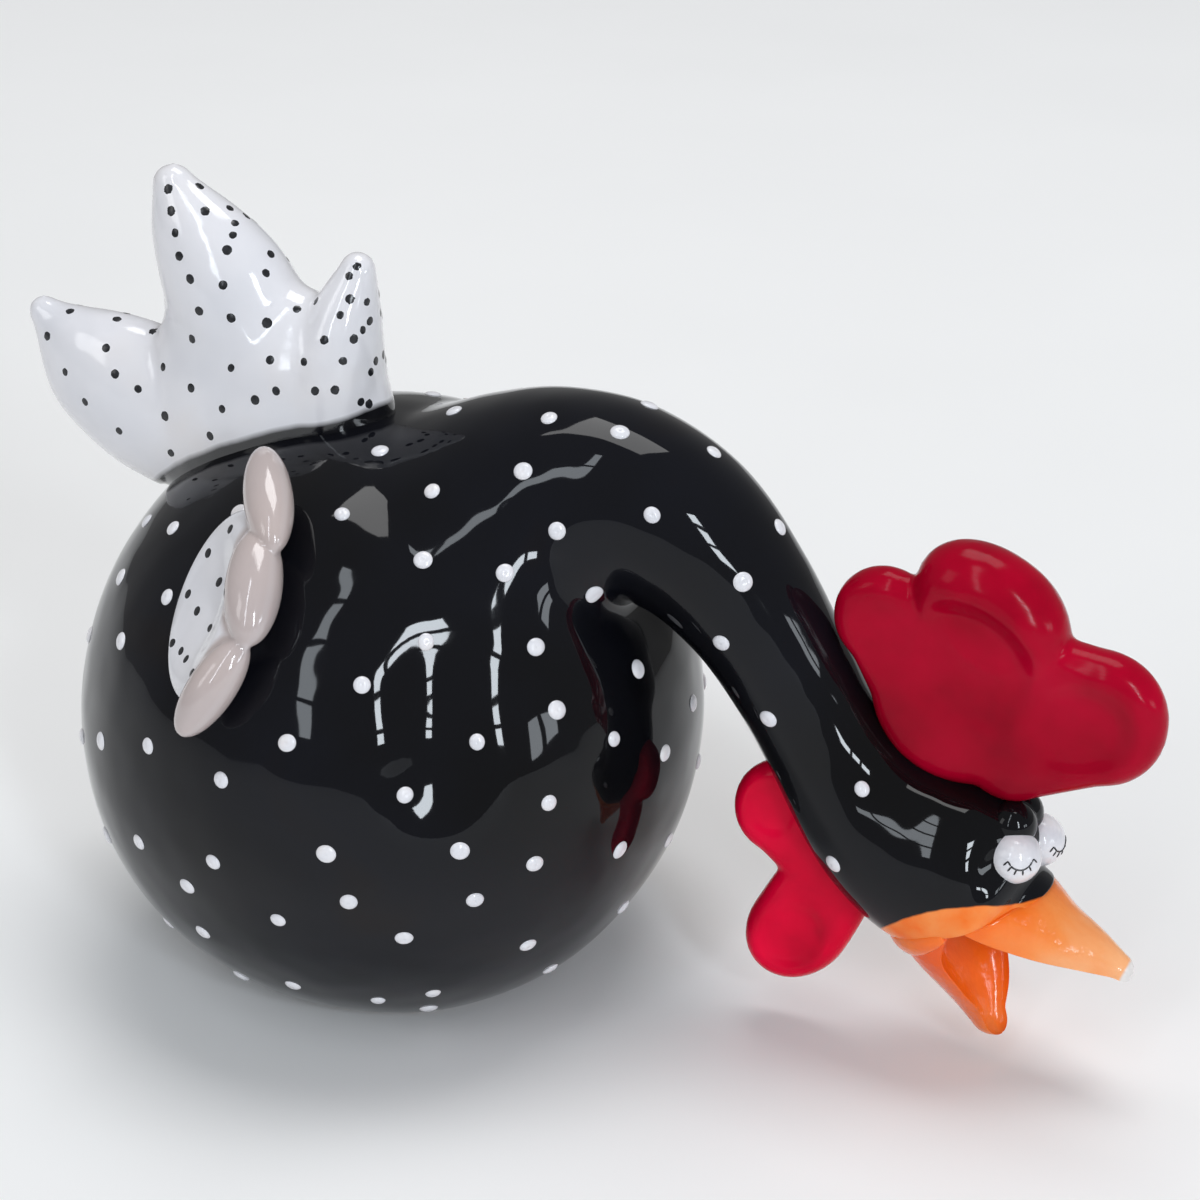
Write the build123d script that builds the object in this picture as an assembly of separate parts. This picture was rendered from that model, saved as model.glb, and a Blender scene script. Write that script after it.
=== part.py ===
"""Speckled pottery hen bent over to peck.

Millimetres. The origin is the middle of the foot, +X is the way the hen heads,
+Y its left side and +Z up. Both sides are alike, apart from where the slip dots fall
and the left wing, which sits lower on its flank.
"""

import os
from math import asin, cos, pi, radians, sin, sqrt

from build123d import *

# Pot: a ball cut flat for the foot, hollow, with a small vent through the foot.
BODY_RADIUS = 63.0
BODY_CENTRE_Z = 54.0
BODY_WALL = 5.5
FOOT_THICKNESS = 8.0
VENT_RADIUS = 1.6
VENT_BACK = 16.0

# Neck: luted to the pot on a flat ring that faces forward and up. Everything in front
# is placed from the neck's root, where the ring's axis meets the ball.
NECK_TILT = 50.0
NECK_CAP = 12.0
NECK_LEAD = 6.0
NECK_WALL = 4.6
# Stations from the ring to the forehead: x, z, half height, half width, heading in degrees.
NECK_STATIONS = (
    (-2.0, -1.3, 28.0, 28.0, 40.0),
    (4.0, 3.0, 22.3, 22.3, 22.0),
    (12.5, 4.0, 18.8, 18.8, 0.0),
    (22.5, -0.8, 16.6, 16.6, -27.0),
    (35.0, -13.3, 13.8, 13.8, -46.0),
    (45.0, -28.3, 12.6, 12.4, -57.0),
    (57.5, -46.8, 14.2, 13.4, -54.0),
    (65.5, -53.7, 17.0, 15.4, -41.0),
    (73.5, -58.3, 18.8, 16.6, -33.0),
    (81.5, -62.3, 18.2, 16.2, -30.0),
    (87.3, -65.1, 13.8, 13.8, -30.0),
    (91.3, -67.1, 9.4, 10.8, -30.0),
)
HOLLOW_STATIONS = 8

# Beak: both halves stand on one flat face of the head, open to each other.
BEAK_FACE = (80.0, -68.3, -66.0)
BEAK_WALL = 2.4
# Depth of the scoop at the face as a share of the height, and how much of it fades towards the tip.
SCOOP_SHARE = 0.45
SCOOP_FADE = 0.7
# Base on the face: place of the mouth line along it, height, half width.
UPPER_BASE = (3.6, 12.6, 15.2)
LOWER_BASE = (2.4, 18.0, 15.2)
# Stations past the face: mouth line x, z, height, half width, heading.
UPPER_STATIONS = (
    (91.2, -70.7, 10.6, 11.4, -38.0),
    (96.4, -72.8, 8.6, 9.0, -34.0),
    (104.0, -74.9, 6.2, 5.8, -30.0),
    (110.5, -76.5, 3.2, 2.9, -26.0),
)
LOWER_STATIONS = (
    (80.9, -73.7, 12.2, 12.4, -62.0),
    (84.8, -81.7, 10.4, 8.6, -60.0),
    (87.2, -87.8, 8.4, 5.6, -60.0),
    (87.7, -93.1, 4.6, 3.0, -62.0),
)

# Share of a tip's tightest curve that its edge is rounded by.
TIP_SHARE = 0.85

# Eyes: balls pressed together side by side on two brows.
EYE_RADIUS = 5.4
EYE_X = 91.7
EYE_SIDE = 3.7
EYE_Z = -53.2
BROW_RADIUS = 7.0
BROW_BACK = 5.5
BROW_RISE = 1.5

# Comb and wattle: thumbed lobes in the XZ plane: x, z, radius, half rim, half web.
COMB_LOBES = (
    (62.5, -11.3, 11.0, 4.1, 3.4),
    (81.5, -7.3, 15.4, 5.8, 2.9),
    (101.8, -24.3, 14.2, 4.9, 3.5),
    (77.3, -24.0, 20.0, 4.8, 6.0),
)
WATTLE_LOBES = (
    (42.8, -54.6, 10.2, 3.8, 3.0),
    (47.7, -82.3, 12.8, 4.2, 2.8),
    (54.0, -66.8, 11.0, 3.8, 4.2),
)

# Tail: a puffed fan of three points, placed from where its axis meets the ball.
# Stations of each point: x, z, half width along the fan, half thickness, heading.
TAIL_HEADING = 114.0
TAIL_PALM = (
    (7.6, -15.6, 25.0, 12.0, 114.0),
    (-0.4, 2.4, 27.5, 14.0, 114.0),
    (-6.4, 16.4, 24.0, 11.5, 114.0),
    (-10.4, 25.4, 14.0, 7.5, 114.0),
)
TAIL_REAR = (
    (-14.4, -3.1, 16.5, 11.0, 146.0),
    (-30.4, 1.9, 16.2, 10.0, 148.0),
    (-41.4, 8.4, 12.0, 7.4, 144.0),
    (-49.4, 14.8, 4.4, 3.8, 140.0),
)
TAIL_MIDDLE = (
    (-3.4, 16.4, 16.5, 12.0, 116.0),
    (-10.4, 30.4, 13.8, 9.6, 115.0),
    (-15.6, 40.8, 8.8, 6.4, 113.0),
    (-19.0, 48.4, 3.6, 3.3, 112.0),
)
TAIL_FRONT = (
    (15.6, 2.4, 12.0, 12.5, 84.0),
    (17.0, 16.4, 9.4, 10.6, 82.0),
    (19.0, 27.4, 6.2, 7.2, 80.0),
    (20.6, 35.4, 3.2, 3.4, 78.0),
)

# Wing: a thin palm on the flank with three puffed fingers along its edge, drawn flat and then
# placed at a longitude and latitude of the ball, in degrees.
WING_LONGITUDE = -113.0
WING_LATITUDE = 37.0
WING_REACH = (0.862, -0.374, 0.342)
WING_RISE = (-0.013, 0.658, 0.753)
# Palm, then fingers: place along the reach and the rise, heading, half length, width and thickness.
WING_PUFFS = (
    (11.2, 0.0, 90.0, 19.0, 14.0, 3.2),
    (17.4, 20.6, 122.0, 12.4, 4.7, 4.6),
    (20.5, 3.5, 106.0, 11.9, 5.5, 5.2),
    (16.2, -15.8, 56.0, 11.0, 4.5, 4.4),
)
LEFT_WING_DROP = 28.0

# Slip dots: low caps, spread evenly over the pot and in staggered rings along the neck.
DOT_RADIUS = 1.75
DOT_HEIGHT = 0.75
DOT_SPACING = 20.0
DOT_CLEAR = 4.0
DOT_LOWEST = 5.0
DOT_TURN = 0.6
NECK_DOT_STATIONS = (0, 2, 3, 4, 5, 6, 7)
DOT_CROOK = -0.6

BODY_CENTRE = Vector(0, 0, BODY_CENTRE_Z)
NECK_PLANE = BODY_RADIUS - NECK_CAP
GOLDEN_ANGLE = pi * (3 - sqrt(5))


def heading_vector(angle):
    """Unit vector in the XZ plane, angle in degrees above level."""
    return Vector(cos(radians(angle)), 0, sin(radians(angle)))


def on_ball(angle):
    """Point of the pot's ball in the XZ plane, angle in degrees above level."""
    return BODY_CENTRE + heading_vector(angle) * BODY_RADIUS


def placed(root, stations):
    """Rows that start with x and z, moved from a root."""
    return [(root.X + x, root.Z + z, *sizes) for x, z, *sizes in stations]


def neck_stations():
    """Stations of the neck and head in place."""
    return placed(on_ball(NECK_TILT), NECK_STATIONS)


def station_plane(x, z, angle):
    """Plane across a station: its x axis lies in the XZ plane, its y axis along Y."""
    return Plane(
        origin=(x, 0, z),
        x_dir=tuple(heading_vector(angle + 90)),
        z_dir=tuple(heading_vector(angle)),
    )


def oval(x, z, half_height, half_width, angle):
    """Oval section face across a station."""
    return station_plane(x, z, angle) * Ellipse(half_height, half_width)


def oval_loft(stations):
    """Smooth loft through oval stations."""
    return loft([oval(*station) for station in stations])


def rounded_horn(stations):
    """Oval loft with the edge of its far end rounded over."""
    x, z, a, b, h = stations[-1]
    horn = oval_loft(stations)
    end = horn.faces().sort_by_distance((x, 0, z))[0]
    tightest = min(a**2 / b, b**2 / a)
    return horn.fillet(TIP_SHARE * tightest, end.edges())


def side_of(plane, size=400.0):
    """Block filling the side a plane faces."""
    return plane * Box(size, size, size, align=(Align.CENTER, Align.CENTER, Align.MIN))


def thumbed_lobe(x, z, radius, half_rim, half_web):
    """Round lobe in the XZ plane with a full rim and both faces pressed to the web."""
    rim_at = radius - half_rim
    mid = (0.5 * rim_at, half_web + 0.2 * (half_rim - half_web))
    crest = (rim_at, half_rim)
    face = Spline((0, half_web), mid, crest, (radius, 0), tangents=((1, 0), (0, -1)))
    axis = Line((0, 0), (0, half_web))
    level = Line((radius, 0), (0, 0))
    half = revolve(Plane.XZ * make_face([axis, face, level]), Axis.Z)
    lobe = half + mirror(half, about=Plane.XY)
    return Pos(x, 0, z) * Rot(90, 0, 0) * lobe


def puff(x, z, angle, half_length, half_width, half_thickness):
    """Pillow of clay in the XZ plane, its length at an angle in degrees."""
    pillow = scale(Sphere(1), by=(half_length, half_thickness, half_width))
    return Pos(x, 0, z) * Rot(0, -angle, 0) * pillow


def fuse_all(shapes):
    """One solid from overlapping shapes."""
    first, *rest = shapes
    return first.fuse(*rest)


def body_ball():
    """The pot's outer ball down to the table."""
    return Pos(*BODY_CENTRE) * Sphere(BODY_RADIUS) - side_of(-Plane.XY)


def neck_ring_plane():
    """Flat ring plane between the pot and the neck."""
    middle = BODY_CENTRE + heading_vector(NECK_TILT) * NECK_PLANE
    return station_plane(middle.X, middle.Z, NECK_TILT)


def make_body():
    """Hollow pot with a flat foot, a vent and an open ring for the neck."""
    hollow = Pos(*BODY_CENTRE) * Sphere(BODY_RADIUS - BODY_WALL)
    hollow -= side_of(Plane((0, 0, FOOT_THICKNESS), z_dir=(0, 0, -1)))
    vent = Pos(-VENT_BACK, 0, 0) * Cylinder(VENT_RADIUS, 4 * FOOT_THICKNESS)
    return body_ball() - side_of(neck_ring_plane()) - hollow - vent


def ball_stations(radius):
    """Round stations on a ball about the pot's centre, up to the ring plane."""
    stations = []
    for step in (2, 1, 0):
        along = NECK_PLANE - step * NECK_LEAD
        middle = BODY_CENTRE + heading_vector(NECK_TILT) * along
        half = sqrt(radius**2 - along**2)
        stations.append((middle.X, middle.Z, half, half, NECK_TILT))
    return stations


def beak_face_plane():
    """Flat face of the head that carries the beak."""
    face = placed(on_ball(NECK_TILT), [BEAK_FACE])[0]
    return station_plane(*face)


def eye_place(side):
    """Centre of an eye on the left, 1, or the right, -1."""
    return on_ball(NECK_TILT) + Vector(EYE_X, side * EYE_SIDE, EYE_Z)


def brow(eye):
    """Ball that swells the head behind and above an eye."""
    return Pos(*(eye + Vector(-BROW_BACK, 0, BROW_RISE))) * Sphere(BROW_RADIUS)


def neck_form():
    """Outer form of the neck and head, past the ring plane."""
    outer = oval_loft([*ball_stations(BODY_RADIUS), *neck_stations()])
    outer -= side_of(-neck_ring_plane())
    brows = [brow(eye_place(side)) for side in (1, -1)]
    return fuse_all([outer, *brows]) - side_of(beak_face_plane())


def make_neck(form):
    """Neck and head as one piece, hollow from the ring to the head."""
    ring = ball_stations(BODY_RADIUS - BODY_WALL)[-1]
    inner = [ring]
    for x, z, a, b, h in neck_stations()[:HOLLOW_STATIONS:2]:
        inner.append((x, z, a - NECK_WALL, b - NECK_WALL, h))
    return form - oval_loft(inner)


def half_oval(x, z, height, half_width, angle, side):
    """Half-oval section face across a station: flat along the mouth, domed to one side."""
    crown = side * height
    near, far = (sqrt(0.5) * crown, -sqrt(0.5) * half_width), (sqrt(0.5) * crown, sqrt(0.5) * half_width)
    ends = ((side, 0), (-side, 0))
    dome = Spline((0, -half_width), near, (crown, 0), far, (0, half_width), tangents=ends)
    mouth = Line((0, half_width), (0, -half_width))
    return station_plane(x, z, angle) * make_face([dome, mouth])


def beak_half(base, stations, side):
    """One half of the beak: domed on the outside, scooped out along the mouth."""
    along, height, half_width = base
    face = beak_face_plane()
    mouth = face.origin + face.x_dir * along
    first = (mouth.X, mouth.Z, height, half_width, BEAK_FACE[2])
    rows = [first, *placed(on_ball(NECK_TILT), stations)]
    horn = loft([half_oval(*row, side) for row in rows])
    scoop = []
    for k, (x, z, a, b, h) in enumerate(rows[:-1]):
        depth = SCOOP_SHARE * a * (1 - SCOOP_FADE * k / len(stations))
        scoop.append((x, z, depth, b - BEAK_WALL, h))
    return horn - oval_loft(scoop) - side_of(-face)


def make_right_eye(form):
    """Eyeball cut to its brow and to the other eye, flat on the middle plane."""
    return Pos(*eye_place(-1)) * Sphere(EYE_RADIUS) - form - side_of(-Plane.XZ)


def lobed_plate(lobes, form):
    """Plate of thumbed lobes, cut to the form it stands on."""
    rows = placed(on_ball(NECK_TILT), lobes)
    return fuse_all([thumbed_lobe(*row) for row in rows]) - form


def make_tail(ball):
    """Puffed tail of three points, cut to the pot."""
    root = on_ball(TAIL_HEADING)
    points = [rounded_horn(placed(root, s)) for s in (TAIL_REAR, TAIL_MIDDLE, TAIL_FRONT)]
    return fuse_all([oval_loft(placed(root, TAIL_PALM)), *points]) - ball


def wing_place():
    """Plane that the right wing is drawn flat in: x along its reach, z along its rise."""
    lon, lat = radians(WING_LONGITUDE), radians(WING_LATITUDE)
    out = Vector(cos(lat) * cos(lon), cos(lat) * sin(lon), sin(lat))
    root = BODY_CENTRE + out * BODY_RADIUS
    return Plane(origin=root, x_dir=WING_REACH, z_dir=WING_RISE)


def make_right_wing(ball):
    """Wing on the hen's right flank, cut to the pot."""
    return wing_place() * fuse_all([puff(*row) for row in WING_PUFFS]) - ball


def make_left_wing(right_wing):
    """Mirror image of the right wing, turned down around the pot."""
    along = Axis(BODY_CENTRE, (1, 0, 0))
    return mirror(right_wing, about=Plane.XZ).rotate(along, -LEFT_WING_DROP)


def dot_ball_radius():
    """Radius of the ball that a dot is a cap of."""
    return (DOT_RADIUS**2 + DOT_HEIGHT**2) / (2 * DOT_HEIGHT)


def pot_dot():
    """Dot turned to lie on the pot, its own Z axis along the pot's normal and origin at the pot's centre."""
    edge = sqrt(BODY_RADIUS**2 - DOT_RADIUS**2)
    top = edge + DOT_HEIGHT
    ball = dot_ball_radius()
    half_turn = asin(DOT_RADIUS / ball) / 2
    shoulder = (ball * sin(half_turn), top - ball + ball * cos(half_turn))
    seat_turn = asin(DOT_RADIUS / BODY_RADIUS) / 2
    seat = (BODY_RADIUS * sin(seat_turn), BODY_RADIUS * cos(seat_turn))
    cap = ThreePointArc((0, top), shoulder, (DOT_RADIUS, edge))
    under = ThreePointArc((DOT_RADIUS, edge), seat, (0, BODY_RADIUS))
    axis = Line((0, BODY_RADIUS), (0, top))
    return revolve(Plane.XZ * make_face([cap, under, axis]), Axis.Z)


def neck_dot(point, normal, form):
    """Dot cut to the neck at a point."""
    middle = point - normal * (dot_ball_radius() - DOT_HEIGHT)
    return Plane(origin=middle, z_dir=normal) * Sphere(dot_ball_radius()) - form


def body_dot_normals():
    """Even directions over the pot above the foot and behind the neck ring."""
    count = round(4 * pi * BODY_RADIUS**2 / (sqrt(0.75) * DOT_SPACING**2))
    edge = (NECK_PLANE - DOT_RADIUS) / BODY_RADIUS
    lowest = (DOT_LOWEST - BODY_CENTRE_Z) / BODY_RADIUS
    normals = []
    for i in range(count):
        up = 1 - (2 * i + 1) / count
        turn = i * GOLDEN_ANGLE + DOT_TURN
        flat = sqrt(1 - up**2)
        normal = Vector(flat * cos(turn), flat * sin(turn), up)
        if up > lowest and normal.dot(heading_vector(NECK_TILT)) < edge:
            normals.append(normal)
    return normals


def clear_of(point, neighbours, boxes):
    """Whether a dot at a point stays clear of the neighbours, whose boxes rule out most of them."""
    for neighbour, box in zip(neighbours, boxes):
        below = [low - at for low, at in zip(box.min, point)]
        above = [at - high for high, at in zip(box.max, point)]
        if max(below + above) < DOT_CLEAR and neighbour.distance_to(Vertex(*point)) < DOT_CLEAR:
            return False
    return True


def make_body_dots(neighbours):
    """Dots on the pot, clear of the tail and wings."""
    dot = pot_dot()
    boxes = [n.bounding_box() for n in neighbours]
    places = []
    for normal in body_dot_normals():
        if clear_of(BODY_CENTRE + normal * BODY_RADIUS, neighbours, boxes):
            places.append(normal)
    return Compound([(Plane(origin=BODY_CENTRE, z_dir=n) * dot).solid() for n in places])


def make_neck_dots(form, neighbours):
    """Rings of dots along the neck, clear of what stands on it and of the crook under the bend."""
    ring = neck_ring_plane()
    boxes = [n.bounding_box() for n in neighbours]
    caps = []
    for row, index in enumerate(NECK_DOT_STATIONS):
        x, z, a, b, h = neck_stations()[index]
        plane = station_plane(x, z, h)
        count = max(3, round(pi * (a + b) / DOT_SPACING))
        for k in range(count):
            turn = 2 * pi * (k + 0.25 + 0.5 * (row % 2)) / count
            ray = plane.x_dir * cos(turn) + plane.y_dir * sin(turn)
            hits = form.find_intersection_points(Axis(plane.origin, ray))
            ahead = [hit for hit in hits if (hit[0] - plane.origin).dot(ray) > 0]
            point, normal = min(ahead, key=lambda hit: (hit[0] - plane.origin).length)
            past_ring = (point - ring.origin).dot(ring.z_dir)
            if cos(turn) < DOT_CROOK or past_ring < DOT_RADIUS:
                continue
            if clear_of(point, neighbours, boxes):
                caps.append(neck_dot(point, normal, form).solid())
    return Compound(caps)


def make_all():
    """Every piece by name."""
    ball = body_ball()
    form = neck_form()
    body = make_body()
    upper = beak_half(UPPER_BASE, UPPER_STATIONS, 1)
    lower = beak_half(LOWER_BASE, LOWER_STATIONS, -1)
    comb = lobed_plate(COMB_LOBES, form)
    wattle = lobed_plate(WATTLE_LOBES, form)
    tail = make_tail(ball)
    eye = make_right_eye(form)
    wing = make_right_wing(ball)
    far_wing = make_left_wing(wing)
    return {
        "body_shell": body,
        "neck_and_head": make_neck(form),
        "upper_beak": upper,
        "lower_beak": lower,
        "right_eye": eye,
        "left_eye": mirror(eye, about=Plane.XZ),
        "comb": comb,
        "wattle": wattle,
        "tail": tail,
        "right_wing": wing,
        "left_wing": far_wing,
        "body_dots": make_body_dots([tail, wing, far_wing]),
        "neck_dots": make_neck_dots(form, [comb, wattle, upper, lower]),
    }


os.makedirs("parts", exist_ok=True)
for name, shape in make_all().items():
    export_step(shape, "parts/" + name + ".step")
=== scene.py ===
"""Looks of the speckled pottery hen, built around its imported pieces.

Lengths in the tables are millimetres and are turned into metres where meshes are made.
+X is the way the hen heads, +Y its left side and +Z up.
"""

import math
import random

import bmesh
import bpy
import numpy as np
from mathutils import Matrix, Vector, noise
from mathutils.bvhtree import BVHTree


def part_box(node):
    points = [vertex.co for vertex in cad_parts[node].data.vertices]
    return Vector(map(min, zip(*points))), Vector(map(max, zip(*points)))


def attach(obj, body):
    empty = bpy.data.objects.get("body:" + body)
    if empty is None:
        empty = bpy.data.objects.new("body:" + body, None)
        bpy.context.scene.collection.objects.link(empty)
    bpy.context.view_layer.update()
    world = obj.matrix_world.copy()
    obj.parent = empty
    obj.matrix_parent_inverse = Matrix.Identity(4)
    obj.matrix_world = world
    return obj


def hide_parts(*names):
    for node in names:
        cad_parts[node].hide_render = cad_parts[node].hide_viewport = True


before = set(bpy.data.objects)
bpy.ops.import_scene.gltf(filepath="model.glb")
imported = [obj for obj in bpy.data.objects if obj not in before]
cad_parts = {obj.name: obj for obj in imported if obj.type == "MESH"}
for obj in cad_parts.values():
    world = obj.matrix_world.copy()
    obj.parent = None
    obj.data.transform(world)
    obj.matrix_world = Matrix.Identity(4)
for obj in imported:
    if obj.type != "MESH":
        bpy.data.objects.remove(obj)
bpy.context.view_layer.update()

MM = 0.001
DRAW_SEED = 11
random.seed(DRAW_SEED)

# Camera of the photograph: millimetres, and pixels of its 1200 by 1200 frame.
PHOTO_SIDE = 1200
CAMERA_AT = Vector((235.5, -471.6, 321.9))
CAMERA_AIM = Vector((38.55, 15.82, 76.77))
CAMERA_LENS = 87.0
CAMERA_SENSOR = 36.0

# Pot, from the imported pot: a ball on a flat foot.
pot_low, pot_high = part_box("body_shell")
BALL_RADIUS = (pot_high.y - pot_low.y) / 2 / MM
BALL_CENTRE = Vector((0, 0, pot_high.z / MM - BALL_RADIUS))
# Ring of the neck on the ball: tilt of its axis in degrees, and how far along the axis it lies.
NECK_TILT = 50.0
NECK_PLANE = 51.0
# Rows round the ball, how many lead into the neck's curve and at what stride, and the neck's row step.
BALL_RINGS = 46
LEAD_ROWS = 9
LEAD_STRIDE = 4
NECK_STEP = 1.3
GOURD_SIDES = 144
# How softly the foot flattens, and the x that it ends before.
FOOT_SOFTNESS = 1.6
FOOT_BEFORE = 70.0

# Stations of the neck and head: x, z, half height, half width, heading in degrees.
NECK_STATIONS = (
    (38.5, 101.0, 28.0, 28.0, 40.0),
    (44.5, 105.3, 22.3, 22.3, 22.0),
    (53.0, 106.3, 18.8, 18.8, 0.0),
    (63.0, 101.5, 16.6, 16.6, -27.0),
    (75.5, 89.0, 13.8, 13.8, -46.0),
    (85.5, 74.0, 12.6, 12.4, -57.0),
    (98.0, 55.5, 14.2, 13.4, -54.0),
    (106.0, 48.6, 17.0, 15.4, -41.0),
    (114.0, 44.0, 18.8, 16.6, -33.0),
    (122.0, 40.0, 18.2, 16.2, -30.0),
    (127.8, 37.2, 13.8, 13.8, -30.0),
    (129.8, 36.3, 9.0, 10.2, -30.0),
)
# Flat that the beak is luted to: x, z and the way it faces in degrees.
BEAK_FACE = (120.5, 34.0, -66.0)

# Hand-made unevenness of the gourd: length and height of a slow wave, and a finer one's shares of them.
WAVE_LENGTH = 46.0
WAVE_HEIGHT = 0.7
FINE_LENGTH = 0.4
FINE_HEIGHT = 0.3
# Two thumb dents: longitude, latitude, half width, depth.
THUMB_DENTS = (
    (-56.0, 29.0, 9.5, 3.0),
    (-56.0, 13.5, 10.5, 3.6),
)

# Eyes: centres of the right and left one, radius, and the right one of the knobs that brow them.
EYE_PLACES = ((130.8, -5.8, 49.4), (133.0, 3.6, 48.5))
EYE_RADIUS = 5.2
BROW_PLACE = (129.3, -2.5, 54.2)
BROW_RADIUS = 4.7
# How the eyes and brows are merged and eased over: skin cell, and rounds for each.
EYE_VOXEL = 0.4
EYE_ROUNDS = 4
BROW_ROUNDS = 6
# Sockets pressed into the head beside the eyes: place of the right one, spread, depth.
SOCKET = ((130.2, -11.0, 49.0), 5.5, 2.0)
# Ways that the closed lids face, the points of a lid line across and up the eye, and its lashes.
LID_FACINGS = ((0.50, -0.85, 0.19), (0.95, -0.20, 0.06))
LID_POINTS = ((-2.5, 0.7), (-1.9, -0.3), (-1.0, -0.9), (0.2, -1.0), (1.4, -0.4), (2.4, 0.8))
LASH_LENGTH = 1.15
LASH_WIDTH = 0.36
# Slant of the lashes: how far each splays for its place across the lid, and how far all drop.
LASH_SPLAY = 0.55
LASH_DROP = 1.6
# Places along a lash from root to tip, step along a lid line, and how far off the eye is looked for.
LASH_SHARES = (0.0, 0.35, 0.7, 1.0)
LID_STEP = 0.4
LOOK_FROM = 20.0
# Sides of a painted line, and the share of its width at its ends.
LINE_SIDES = 8
LINE_PINCH = 0.55

# Beak: mouth line x, z, height, half width and heading of each station.
UPPER_BEAK = (
    (123.4, 36.4, 11.4, 15.6, -66.0),
    (127.6, 33.6, 11.4, 13.4, -48.0),
    (131.7, 31.6, 10.6, 11.4, -38.0),
    (136.9, 29.5, 8.6, 9.0, -34.0),
    (144.5, 27.4, 6.2, 5.8, -30.0),
    (150.6, 25.8, 3.6, 3.2, -26.0),
)
LOWER_BEAK = (
    (122.0, 35.6, 18.4, 14.8, -66.0),
    (121.4, 28.6, 12.2, 12.4, -62.0),
    (125.3, 20.6, 10.4, 8.6, -60.0),
    (127.7, 14.5, 8.6, 5.6, -60.0),
    (128.2, 9.6, 5.6, 3.4, -62.0),
)
# Mandibles: sides and step of their rows, how soon they are fully rolled, how deep each is hollowed for
# its height, and how thin the glaze lies from base to tip, from 0 to 1; the lower one's dark base is
# partly painted shade under the lip.
BEAK_SIDES = 56
BEAK_STEP = 1.2
ROLL_RATE = 2.0
UPPER_TROUGH = 0.3
LOWER_TROUGH = 0.45
UPPER_THIN = (0.35, 1.0)
LOWER_THIN_AND_SHADE = (0.0, 0.6)
# How far the lower mandible is rolled towards its right, and its lip where it meets the cheeks: how far
# it lies in from the chin and hangs past the face, its lean inwards, half thickness and half depth.
LOWER_ROLL = 18.0
LIP_INSET = 2.4
LIP_HANG = 3.4
LIP_LEAN = 0.26
LIP_HALF = 2.6
LIP_DEPTH = 4.2
# How thin the glaze lies on the lip, from 0 to 1; lighter than the lower mandible's base, whose darkness
# is partly painted shade under the lip.
LIP_TONE = 0.42
# Sweep of the lip round the chin: first angle and angle swept in degrees, steps, sides, and the power that
# it tapers by.
LIP_FROM = 8
LIP_SWEEP = 164
LIP_STEPS = 48
LIP_SIDES = 20
LIP_TAPER = 0.7
# Orange brushed up the right cheek from the beak: its rise, the half width that it is full at, and how far
# short of the beak's face it stops at the middle. Then the left cheek's share of the rise.
CHEEK_RISE = 6.5
CHEEK_SIDE = 15.5
CHEEK_BACK = 0.6
LEFT_CHEEK = 0.3
# Waver and softness of the orange's edge, and the x that the head is ahead of.
CHEEK_WAVER = 0.7
CHEEK_SOFT = 0.2
HEAD_FROM = 95.0

# Comb and wattle lobes: x, z, radius, half thickness, crown, stretch and the stretch's lean in degrees;
# and the lobes that run together.
COMB_LOBES = (
    (102.2, 91.3, 9.8, 4.2, 0.4, 1.06, 80.0),
    (122.3, 95.4, 12.2, 8.0, 0.3, 1.33, -38.0),
    (142.9, 78.1, 13.6, 5.0, 0.4, 1.0, 0.0),
    (117.9, 77.6, 17.8, 3.8, 0.2, 1.0, 0.0),
    (127.6, 67.6, 9.6, 3.8, 0.2, 1.0, 0.0),
)
COMB_BRIDGES = ((0, 3), (3, 2), (1, 3), (3, 4), (4, 2), (0, 4))
# Thumb dishes: x, z, half length, half width, lean of the length in degrees, and the level that they are
# pressed to.
COMB_DISHES = (
    (119.4, 86.2, 17.4, 14.4, -38.0, 3.2),
    (103.4, 88.6, 9.0, 8.0, 90.0, 3.5),
    (140.2, 76.6, 12.6, 11.0, 20.0, 3.4),
)
WATTLE_LOBES = (
    (82.8, 47.2, 9.4, 4.0, 0.3, 1.1, 80.0),
    (87.3, 20.8, 9.9, 4.4, 0.5, 1.26, 56.0),
    (95.0, 36.0, 9.5, 4.0, 0.5, 1.0, 0.0),
)
WATTLE_BRIDGES = ((0, 2), (1, 2))
WATTLE_DISHES = (
    (82.0, 48.0, 7.4, 6.4, 90.0, 3.1),
    (86.8, 20.4, 10.0, 7.6, 56.0, 3.0),
)
# Share of a dish that its rim slopes over.
DISH_EASE = 0.45
# How the plates are merged, eased over and left uneven: skin cell, rounds before and after the dishes,
# height and length of the unevenness.
PLATE_VOXEL = 0.7
PLATE_ROUNDS = 12
DISH_ROUNDS = 4
PLATE_WAVE = (0.35, 14.0)

# Tail points: x, z, half width along the fan, half thickness, heading.
TAIL_PALM = (
    (-18.0, 96.0, 25.0, 12.0, 114.0),
    (-26.0, 114.0, 27.5, 14.0, 114.0),
    (-31.1, 128.4, 23.0, 11.5, 114.0),
    (-34.9, 137.5, 12.8, 7.5, 114.0),
)
TAIL_REAR = (
    (-40.0, 108.5, 16.5, 11.0, 146.0),
    (-55.6, 114.1, 15.5, 10.0, 148.0),
    (-67.0, 120.0, 12.0, 7.4, 144.0),
    (-75.8, 128.0, 3.6, 3.2, 138.0),
)
TAIL_MIDDLE = (
    (-27.7, 128.6, 15.1, 12.0, 116.0),
    (-35.1, 142.4, 12.6, 9.6, 115.0),
    (-40.8, 152.6, 8.3, 6.4, 113.0),
    (-44.0, 158.6, 4.2, 3.4, 112.0),
)
TAIL_FRONT = (
    (-11.2, 114.0, 12.0, 12.5, 84.0),
    (-9.6, 128.0, 9.2, 10.6, 82.0),
    (-7.0, 139.0, 6.2, 7.2, 78.0),
    (-4.8, 145.4, 3.6, 3.6, 76.0),
)
# How the tail is merged, eased over and left uneven: skin cell, rounds, height and length.
TAIL_VOXEL = 0.9
TAIL_ROUNDS = 14
TAIL_WAVE = (0.9, 21.0)
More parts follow.
